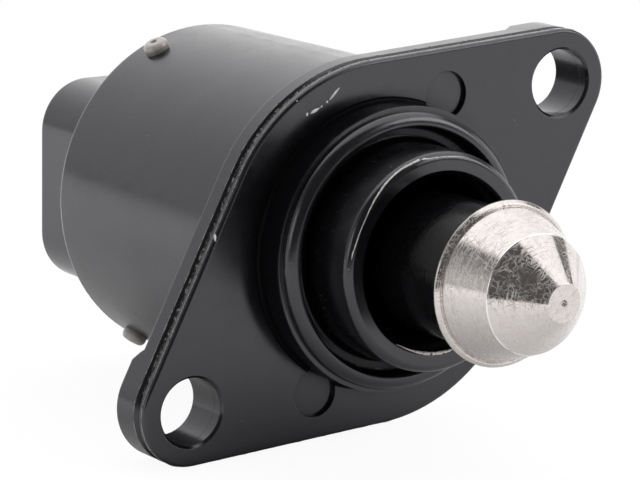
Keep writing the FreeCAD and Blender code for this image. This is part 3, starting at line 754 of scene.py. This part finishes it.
@dataclass
class Nicks:
    """Burrs on the nose's two edges, pale as a painted highlight, and pale chips on the flange."""

    edge_x: float = 9.05
    edge_radius: float = 9.7
    edge_round: float = 0.75
    # Angle about the axis, radius and half width of the burr along the nose's rounded edge
    burr: Corners = ((172.0, 10.08, 0.01), (169.0, 10.06, 0.07), (163.0, 9.95, 0.07), (156.0, 9.93, 0.04),
                     (150.0, 9.93, 0.04), (144.0, 10.0, 0.06), (140.0, 10.07, 0.08), (133.0, 10.17, 0.1),
                     (128.0, 10.24, 0.11), (121.0, 10.29, 0.11), (115.0, 10.31, 0.1), (110.5, 10.28, 0.15),
                     (108.0, 10.27, 0.09), (105.0, 10.28, 0.15), (101.5, 10.22, 0.1), (97.9, 10.1, 0.07),
                     (91.0, 10.05, 0.06), (85.0, 10.02, 0.05), (78.0, 10.07, 0.03), (71.7, 10.13, 0.012))
    # The same along the bottom of the mouth's edge
    mouth_burr: Corners = ((236.0, 8.6, 0.01), (241.0, 8.52, 0.05), (247.0, 8.5, 0.09), (253.0, 8.5, 0.13),
                           (258.0, 8.52, 0.18), (263.0, 8.55, 0.2), (268.0, 8.57, 0.18), (273.0, 8.58, 0.19),
                           (278.0, 8.6, 0.14), (284.0, 8.62, 0.07))
    mouth_x: float = 9.7
    mouth_lean: float = -0.6
    # Place across a burr and height there, as shares of its half width
    burr_section: Corners = ((-1.0, -0.3), (-0.5, 0.25), (0.0, 0.4), (0.5, 0.25), (1.0, -0.3), (0.0, -0.6))
    burr_step_deg: float = 0.7
    burr_swing: float = 0.6
    burr_drift: float = 0.02
    burr_least: float = 0.008
    # Place, half length, half width and height of each chip, and its lean about the axis in degrees
    chips: Corners = ((0.0, -8.6, 13.21, 0.2, 0.12, 0.05, 70.0), (0.0, -7.75, 13.47, 0.6, 0.16, 0.06, 24.0),
                      (0.0, -7.0, 13.8, 0.15, 0.09, 0.04, 40.0), (0.0, -6.38, 14.2, 0.15, 0.13, 0.05, 60.0),
                      (0.0, -5.53, 14.92, 0.85, 0.12, 0.05, 44.0), (0.0, -9.74, 14.58, 0.07, 0.05, 0.03, 10.0))
    seam_chip: Sequence[float] = (-0.2, -18.42, 2.56, 0.4, 0.14, 0.16, 117.0)
    seam_chip_facing: Point = (0.35, -0.893, 0.451)
    # Size and height of a chip's rings from its foot up, as shares of the chip's own
    chip_section: Corners = ((1.0, -0.4), (0.85, 0.35), (0.5, 0.8), (0.12, 1.0))
    chip_sides: int = 14
    chip_raggedness: float = 0.3

    def reach(self, radius: float) -> tuple[float, float]:
        """Station and lean of the nose's rounded edge at a radius.

        Args:
            radius: Distance from the axis.

        Returns:
            The station, and the lean of the surface from +X outwards in radians.
        """
        if radius < self.edge_radius:
            return self.mouth_x, self.mouth_lean
        lean = math.asin((radius - self.edge_radius) / self.edge_round)
        return self.edge_x + self.edge_round * math.cos(lean), lean

    def ridge(self, name: str, line: Corners) -> None:
        """Make one ragged burr round the nose, a real ridge whose pale colour is a painted highlight.

        Args:
            name: The piece's name.
            line: Angle, radius and half width at each of its points.
        """
        rings = []
        for (a0, r0, w0), (a1, r1, w1) in zip(line, line[1:]):
            count = round(abs(a1 - a0) / self.burr_step_deg)
            for t in (i / count for i in range(count)):
                turned = a0 + (a1 - a0) * t
                wobble = noise.noise(Vector((0.6 * turned, 0.0, 7.0)))
                width = max(self.burr_least, (w0 + (w1 - w0) * t) * (1.0 + self.burr_swing * wobble))
                radius = r0 + (r1 - r0) * t + self.burr_drift * wobble
                station, tilt = self.reach(radius)
                out, up = math.cos(tilt), math.sin(tilt)
                rings.append([on_circle(station + width * (height * out - across * up),
                                        radius + width * (height * up + across * out), math.radians(turned))
                              for across, height in self.burr_section])
        # The burr's pale colour is a painted highlight along the edge
        add_piece(name, skin_of(rings, closed=False, capped=True), "housing",
                  WhitenedNylonAndPaintedHighlight(f"{name}_pale_mark").material())

    def chip(self, row: Sequence[float], facing: Vector) -> Surface:
        """Make one low chip.

        Args:
            row: Its numbers, in the order that the rows of chips have.
            facing: Direction that it stands out in.

        Returns:
            Its points and faces.
        """
        x, y, z, length, width, height, lean = row
        along = Vector((0.0, math.cos(math.radians(lean)), math.sin(math.radians(lean))))
        along = (along - along.dot(facing) * facing).normalized()
        across = facing.cross(along)
        rings = []
        for share, rise in self.chip_section:
            ring = []
            for k, a in enumerate(full_turn(self.chip_sides)):
                rough = 1.0 + self.chip_raggedness * noise.noise(Vector((3.0 * x + k, y * 2.0, z * 2.0)))
                ring.append(tuple(Vector((x, y, z)) + along * (length * share * rough * math.cos(a))
                                  + across * (width * share * rough * math.sin(a)) + facing * (height * rise)))
            rings.append(ring)
        return skin_of(rings, closed=False, capped=True)

    def scatter(self) -> None:
        """Make the chips on the flange's face and the one in the seam."""
        points: list[Point] = []
        faces: list[list[int]] = []
        rows = [(row, Vector((1.0, 0.0, 0.0))) for row in self.chips]
        for row, facing in rows + [(self.seam_chip, Vector(self.seam_chip_facing).normalized())]:
            more, sides = self.chip(row, facing)
            faces += [[len(points) + k for k in side] for side in sides]
            points += more
        material = WhitenedNylonAndPaintedHighlight("nylon_chip_pale_mark", pale="#efe9e4", dark="#b8b2ad").material()
        add_piece("flange_chips", (points, faces), "housing", material)

    def build(self) -> None:
        """Make all the nicks."""
        self.ridge("nose_edge_burr", self.burr)
        self.ridge("mouth_edge_burr", self.mouth_burr)
        self.scatter()


@dataclass
class MouldedBody:
    """Housing, front cover and connector blades."""

    blades: int = 4

    def build(self) -> None:
        """Dress the mouldings and the blades, and add the seam and the nicks."""
        dress(("housing", "front_cover"), GlassFilledNylon())
        tin = PlainFinish("brass_tin_plated", "#b9b7b0", "#d9d7d0", 0.3, 0.002, 0.28, 1.0, Grain.ALONG_THE_AXIS)
        dress([f"terminal_{i + 1}" for i in range(self.blades)], tin)
        JointSeam().build()
        Nicks().build()


@dataclass
class LeadScrew:
    """Threaded shaft: a rolled thread behind the sleeve and a plain stepped end in the cap."""

    start: float = -19.0
    chamfer: float = 0.4
    thread_end: float = 15.0
    thread_step: float = 0.05
    shoulder: float = 19.45
    end: float = 24.0
    crest: float = 2.5
    root: float = 2.02
    stub: float = 2.0
    pitch: float = 1.0
    around: int = 28
    # Height of the thread at tenths of a pitch: root, flank, rounded crest, flank
    form: Sequence[float] = (0.0, 0.0, 0.1, 0.5, 0.9, 1.0, 1.0, 0.9, 0.5, 0.1)

    def thread_radius(self, x: float, angle: float) -> float:
        """Radius of the threaded shaft.

        Args:
            x: Station.
            angle: Angle about the axis.

        Returns:
            The radius there.
        """
        turn = ((x - self.start) / self.pitch - angle / (2 * math.pi)) % 1.0 * len(self.form)
        low = int(turn) % len(self.form)
        high = (low + 1) % len(self.form)
        height = self.form[low] + (self.form[high] - self.form[low]) * (turn - int(turn))
        edge = min(1.0, (x - self.start) / self.chamfer, max(0.0, self.thread_end - x) / self.pitch)
        return self.root + (self.crest - self.root) * height * max(0.0, edge)

    def build(self) -> None:
        """Make the shaft in place of the plain solid."""
        step = self.pitch / len(self.form)
        stations = [self.start + i * step for i in range(int((self.thread_end - self.start) / step) + 1)]
        angles = full_turn(self.around)
        rings = [[on_circle(x, self.thread_radius(x, a), a) for a in angles] for x in stations]
        for x, radius in ((self.thread_end + self.thread_step, self.crest), (self.shoulder, self.crest),
                          (self.shoulder, self.stub), (self.end, self.stub)):
            rings.append([on_circle(x, radius, a) for a in angles])
        steel = PlainFinish("steel_thread_rolled", "#85868a", "#b4b5b8", 0.2, 0.002, 0.28, 1.0, Grain.ROUND_THE_AXIS)
        add_piece("lead_screw_thread", skin_of(rings, closed=False, capped=True), "pintle",
                  steel.material(), "lead_screw")


@dataclass
class ReturnSpring:
    """Coil spring between its seat and the sleeve, which shortens as the sleeve comes in."""

    start: float = -7.38
    end: float = 14.98
    radius: float = 4.0
    wire_radius: float = 0.32
    turns: int = 8
    first_deg: float = -90.0
    around: int = 48
    sides: int = 12

    def build(self) -> None:
        """Wind the spring in place of the rigid one, from its seat to the sleeve, on no body."""
        pitch = (self.end - self.start) / self.turns
        climb = math.atan2(pitch, 2 * math.pi * self.radius)
        rings = []
        for turn in (i / self.around for i in range(self.turns * self.around + 1)):
            angle = math.radians(self.first_deg) + 2 * math.pi * turn
            middle = Vector(on_circle(self.start + pitch * turn, self.radius, angle))
            outward = Vector((0.0, math.cos(angle), math.sin(angle)))
            sideways = Vector((-math.cos(climb), -math.sin(climb) * outward.z, math.sin(climb) * outward.y))
            rings.append([tuple(middle + self.wire_radius * (math.cos(a) * outward + math.sin(a) * sideways))
                          for a in full_turn(self.sides)])
        wire = PlainFinish("steel_wire_drawn", "#8f9093", "#bcbdc0", 0.2, 0.002, 0.25, 1.0).material()
        spring = add_piece("return_spring_coils", skin_of(rings, closed=False, capped=True), None,
                           wire, "return_spring")
        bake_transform(spring)


@dataclass
class Pintle:
    """Cone, sleeve, lead screw and spring."""

    knee_x: float = 24.52
    knee_radius: float = 5.48
    knee_round: float = 0.15
    knee_swing: float = 0.12
    # Angles from +X outwards at which the worn round's points lie, the last of them inside the metal
    knee_section: Sequence[float] = (10.0, 30.0, 45.0, 60.0, 75.0, 90.0, 110.0, 240.0)
    around: int = 180

    def knee(self) -> None:
        """Make the burnished round that the cone's knee has worn to."""
        rings = []
        for angle in full_turn(self.around):
            wobble = noise.noise(Vector((5.0 * math.cos(angle), 5.0 * math.sin(angle), 1.0)))
            worn = self.knee_round * (1.0 + self.knee_swing * wobble)
            rings.append([on_circle(self.knee_x + worn * math.cos(a), self.knee_radius + worn * math.sin(a), angle)
                          for a in map(math.radians, self.knee_section)])
        burnished = PlainFinish("nickel_plate_burnished", "#e6e0dc", "#f4efec", 0.5, 0.001, 0.22, 1.0,
                                Grain.ROUND_THE_AXIS)
        add_piece("knee_wear", skin_of(rings, closed=True), "pintle", burnished.material())

    def build(self) -> None:
        """Dress the moving pieces."""
        self.knee()
        dress(["pintle_cone"], TurnedNickel())
        dress(["plunger_sleeve"], PlainFinish("acetal_moulded", "#060608", "#0c0c0e", 0.35, 0.012, 0.17, specular=0.15))
        ReturnSpring().build()
        LeadScrew().build()


@dataclass
class Winding:
    """One coil, wound in tidy layers of enamelled wire."""

    name: str
    node: str
    start: float
    end: float
    outer: float = 13.6
    inner: float = 11.0
    # The real wire is 0.12 mm; the turns are drawn 0.3 mm wide so that they show
    wire: float = 0.3
    over: int = 5
    around: int = 96

    def build(self, copper: bpy.types.Material) -> None:
        """Make the coil in place of the plain ring.

        Args:
            copper: Material of the wire.
        """
        turns = round((self.end - self.start) / self.wire)
        width = (self.end - self.start) / turns
        profile = [(self.end, self.inner), (self.start, self.inner)]
        for i in range(turns):
            for share in ((k + 0.5) / self.over for k in range(self.over)):
                fall = 0.5 * width * (1.0 - math.sin(math.pi * share))
                profile.append((self.start + width * (i + share), self.outer - fall))
        rings = [[on_circle(x, radius, angle) for x, radius in profile] for angle in full_turn(self.around)]
        add_piece(self.name, skin_of(rings, closed=True), "housing", copper, self.node)


@dataclass
class StepMotor:
    """Stator modules, coils and rotor."""

    def build(self) -> None:
        """Dress the motor's pieces and wind its coils."""
        steel = PlainFinish("steel_drawn_zinc_plated", "#a0a4a8", "#c4c8cc", 0.6, 0.003, 0.33, 1.0)
        nylon = PlainFinish("nylon_natural_moulded", "#cfcab8", "#ded9c8", 0.8, 0.003, 0.4)
        ferrite = PlainFinish("ferrite_bonded_ground", "#26262a", "#35353a", 0.2, 0.004, 0.5, 0.0,
                              Grain.ALONG_THE_AXIS)
        bronze = PlainFinish("bronze_sintered", "#74532f", "#a8814f", 0.12, 0.012, 0.45, 1.0)
        race = PlainFinish("bearing_steel_ground", "#a9abaf", "#cdcfd2", 0.15, 0.001, 0.14, 1.0,
                           Grain.ROUND_THE_AXIS)
        copper = PlainFinish("copper_wire_enamelled", "#8a4423", "#c97445", 0.5, 0.004, 0.26, 1.0,
                             Grain.ROUND_THE_AXIS)
        dress(("front_stator_cup", "front_stator_plate", "rear_stator_cup", "rear_stator_plate", "spring_seat"), steel)
        dress(("front_bobbin", "rear_bobbin", "rotor_hub", "ball_cage"), nylon)
        dress(["rotor_magnet"], ferrite)
        dress(["rear_bush"], bronze)
        dress(("bearing_outer_race", "bearing_inner_race", "bearing_balls"), race)
        wire = copper.material()
        Winding("front_winding", "front_coil", -18.9, -14.45).build(wire)
        Winding("rear_winding", "rear_coil", -26.75, -22.3).build(wire)


@dataclass(frozen=True)
class MattPaper(Finish):
    """Sheet of matt white paper under the valve.

    The eye gets an even white ground that keeps the valve's shadow. What shines mirrors its white too, but
    less close to the valve, which shades it.
    """

    name: str = "paper_matt_white"
    white: str = "#f2f2f2"
    seen_share: float = 0.9
    seen_strength: float = 1.04
    mirrored_share: float = 0.75
    mirrored_strength: float = 1.3
    # The mirrored white grows between two distances from a place under the valve, all in metres
    shaded: Point = (-0.02, 0.0, -0.01899)
    near: float = 0.017
    far: float = 0.1

    def shader(self, add: AddNode) -> bpy.types.Node:
        """Build the shader.

        Args:
            add: Adds a node to the material's tree.

        Returns:
            The shader.
        """
        rays = add("LightPath")
        reach = add("VectorMath", {"operation": "DISTANCE", 1: self.shaded}, {0: add("TexCoord").outputs["Object"]})
        away = add("MapRange", {"From Min": self.near, "From Max": self.far, "To Max": self.mirrored_share},
                   {"Value": reach})
        mirrored = add("Math", {"operation": "MULTIPLY"}, {0: rays.outputs["Is Glossy Ray"], 1: away})
        share = add("Math", {"operation": "MULTIPLY_ADD", 1: self.seen_share},
                    {0: rays.outputs["Is Camera Ray"], 2: mirrored})
        strength = add("Mix", {"A": self.seen_strength, "B": self.mirrored_strength},
                       {"Factor": rays.outputs["Is Glossy Ray"]})
        paper = add("BsdfDiffuse", {"Color": linear(self.white)})
        glow = add("Emission", {"Color": linear("#ffffff")}, {"Strength": strength})
        return add("MixShader", None, {0: share, 1: paper, 2: glow})


@dataclass(frozen=True)
class Panel:
    """A soft-edged rectangle of the light tent, in degrees: azimuth from +X to +Y, height over the horizon."""

    azimuth: float
    elevation: float
    half_width: float
    half_height: float
    strength: float
    softness: float = 0.02

    def mark(self, add: AddNode, way: Any) -> bpy.types.Node:
        """Mark the rectangle.

        Args:
            add: Adds a node to the world's tree.
            way: Socket with the direction.

        Returns:
            The node whose value is 1 on the rectangle.
        """
        turn, rise = math.radians(self.azimuth), math.radians(self.elevation)
        middle = Vector((math.cos(turn) * math.cos(rise), math.sin(turn) * math.cos(rise), math.sin(rise)))
        level = Vector((-math.sin(turn), math.cos(turn), 0.0))
        towards = add("VectorMath", {"operation": "DOT_PRODUCT", 1: tuple(middle)}, {0: way})
        inside = add("Math", {"operation": "GREATER_THAN", 1: 0.0}, {0: towards})
        for across, reach in ((level, self.half_width), (middle.cross(level), self.half_height)):
            edge = math.sin(math.radians(reach))
            along = add("VectorMath", {"operation": "DOT_PRODUCT", 1: tuple(across)}, {0: way})
            off = add("Math", {"operation": "ABSOLUTE"}, {0: along})
            near = add("MapRange", {"From Min": edge + self.softness, "From Max": edge - self.softness},
                       {"Value": off})
            inside = add("Math", {"operation": "MULTIPLY"}, {0: inside, 1: near})
        return inside


@dataclass
class Studio:
    """Camera, floor and soft light."""

    azimuth: float = 55.95
    elevation: float = 12.22
    roll: float = 0.92
    distance: float = 367.75
    shift_right: float = -5.73
    shift_up: float = 0.36
    focal_px: float = 3882.45
    frame_px: float = 640.0
    sensor: float = 36.0
    floor_z: float = -18.99
    floor_radius: float = 150.0
    floor_sides: int = 96
    # Strengths of the light tent: its walls from the front to the far side, its roof and the lit ground
    walls: tuple[float, float] = (0.78, 1.4)
    roof: float = 1.6
    ground: float = 1.28
    # The dark room: the way to it, its strength from low to high, and in front of the valve
    room_way: Point = (0.70, -0.65, -0.30)
    room: tuple[float, float] = (0.68, 0.22)
    room_front: float = 0.12
    horizon_dip: float = 0.28
    gap: Panel = Panel(96.0, 27.5, 22.0, 8.5, 0.25)
    lamp: Panel = Panel(47.0, 25.0, 17.0, 12.0, 3.6)
    strip: Panel = Panel(-84.0, 12.0, 9.0, 12.0, 2.5)

    def camera(self) -> None:
        """Put the camera where the photograph was taken from."""
        turn, rise, tilt = (math.radians(v) for v in (self.azimuth, self.elevation, self.roll))
        back = Vector((math.sin(turn) * math.cos(rise), -math.cos(turn) * math.cos(rise), math.sin(rise)))
        level = (-back).cross(Vector((0, 0, 1))).normalized()
        upright = level.cross(-back)
        right = math.cos(tilt) * level + math.sin(tilt) * upright
        up = -math.sin(tilt) * level + math.cos(tilt) * upright
        place = back * self.distance + right * self.shift_right + up * self.shift_up
        data = bpy.data.cameras.new("photo_camera")
        data.sensor_width = self.sensor
        data.lens = self.focal_px / self.frame_px * self.sensor
        data.clip_start = 0.01
        data.clip_end = 20.0
        camera = bpy.data.objects.new("photo_camera", data)
        matrix = Matrix((right, up, back)).transposed().to_4x4()
        matrix.translation = place * MM
        camera.matrix_world = matrix
        bpy.context.scene.collection.objects.link(camera)
        bpy.context.scene.camera = camera

    def floor(self) -> None:
        """Lay the round sheet of paper under the valve."""
        ring = [(self.floor_radius * MM * math.cos(a), self.floor_radius * MM * math.sin(a), self.floor_z * MM)
                for a in full_turn(self.floor_sides)]
        mesh = bpy.data.meshes.new("studio_floor")
        mesh.from_pydata(ring, [], [list(range(self.floor_sides))])
        mesh.materials.append(MattPaper().material())
        floor = bpy.data.objects.new("studio_floor", mesh)
        bpy.context.scene.collection.objects.link(floor)

    def world(self) -> None:
        """Surround the valve with a white light tent that is open towards the camera's dark room."""
        world = bpy.data.worlds.new("light_tent")
        bpy.context.scene.world = world
        world.use_nodes = True
        world.node_tree.nodes.clear()
        add = partial(add_node, world.node_tree)
        way = add("TexCoord").outputs["Generated"]
        parts = add("SeparateXYZ", None, {"Vector": way})
        x, y, z = (parts.outputs[axis] for axis in "XYZ")
        wall = add("MapRange", {"From Min": -0.6, "From Max": 0.3, "To Min": self.walls[0], "To Max": self.walls[1]},
                   {"Value": y})
        high = add("MapRange", {"From Min": 0.6, "From Max": 0.78}, {"Value": z})
        tent = add("Mix", {"B": self.roof}, {"Factor": high, "A": wall})
        towards = add("VectorMath", {"operation": "DOT_PRODUCT", 1: self.room_way}, {0: way})
        opened = add("MapRange", {"From Min": -0.10, "From Max": -0.03}, {"Value": towards})
        side = add("MapRange", {"From Min": 0.1, "From Max": 0.7, "To Min": self.room[0], "To Max": self.room[1]},
                   {"Value": z})
        front = add("MapRange", {"From Min": -0.1, "From Max": 0.25}, {"Value": x})
        gloom = add("Mix", {"B": self.room_front}, {"Factor": front, "A": side})
        light = add("Mix", None, {"Factor": opened, "A": tent, "B": gloom})
        rear = add("MapRange", {"From Min": 0.1, "From Max": -0.1}, {"Value": x})
        sunk = add("MapRange", {"From Min": 0.09, "From Max": 0.01, "To Max": self.horizon_dip}, {"Value": z})
        dip = add("Math", {"operation": "MULTIPLY"}, {0: sunk, 1: rear})
        low = add("MapRange", {"From Min": -0.005, "From Max": -0.025}, {"Value": z})
        right = add("MapRange", {"From Min": 0.1, "From Max": 0.25}, {"Value": y})
        sides = add("Math", {"operation": "MAXIMUM"}, {0: rear, 1: right})
        below = add("Math", {"operation": "MULTIPLY"}, {0: low, 1: sides})
        gap, lamp, strip = ((panel.mark(add, way), panel.strength) for panel in (self.gap, self.lamp, self.strip))
        # Each layer lies over the ones before it
        for share, strength in (gap, (dip, 0.0), (below, self.ground), lamp, strip):
            light = add("Mix", {"B": strength}, {"Factor": share, "A": light})
        lit = add("Background", {"Color": linear("#ffffff")}, {"Strength": light})
        seen = add("Background", {"Color": linear("#ffffff"), "Strength": 1.0})
        both = add("MixShader", None, {0: add("LightPath").outputs["Is Camera Ray"], 1: lit, 2: seen})
        add("OutputWorld", None, {"Surface": both})

    def build(self) -> None:
        """Set up the whole studio."""
        self.camera()
        self.floor()
        self.world()
        bpy.context.scene.view_settings.view_transform = "Standard"


def main() -> None:
    """Build every sub-assembly in order."""
    logging.basicConfig(level=logging.INFO, format="%(message)s")
    for part in (MouldedBody(), Pintle(), StepMotor(), Studio()):
        part.build()


if __name__ == "__main__":
    main()
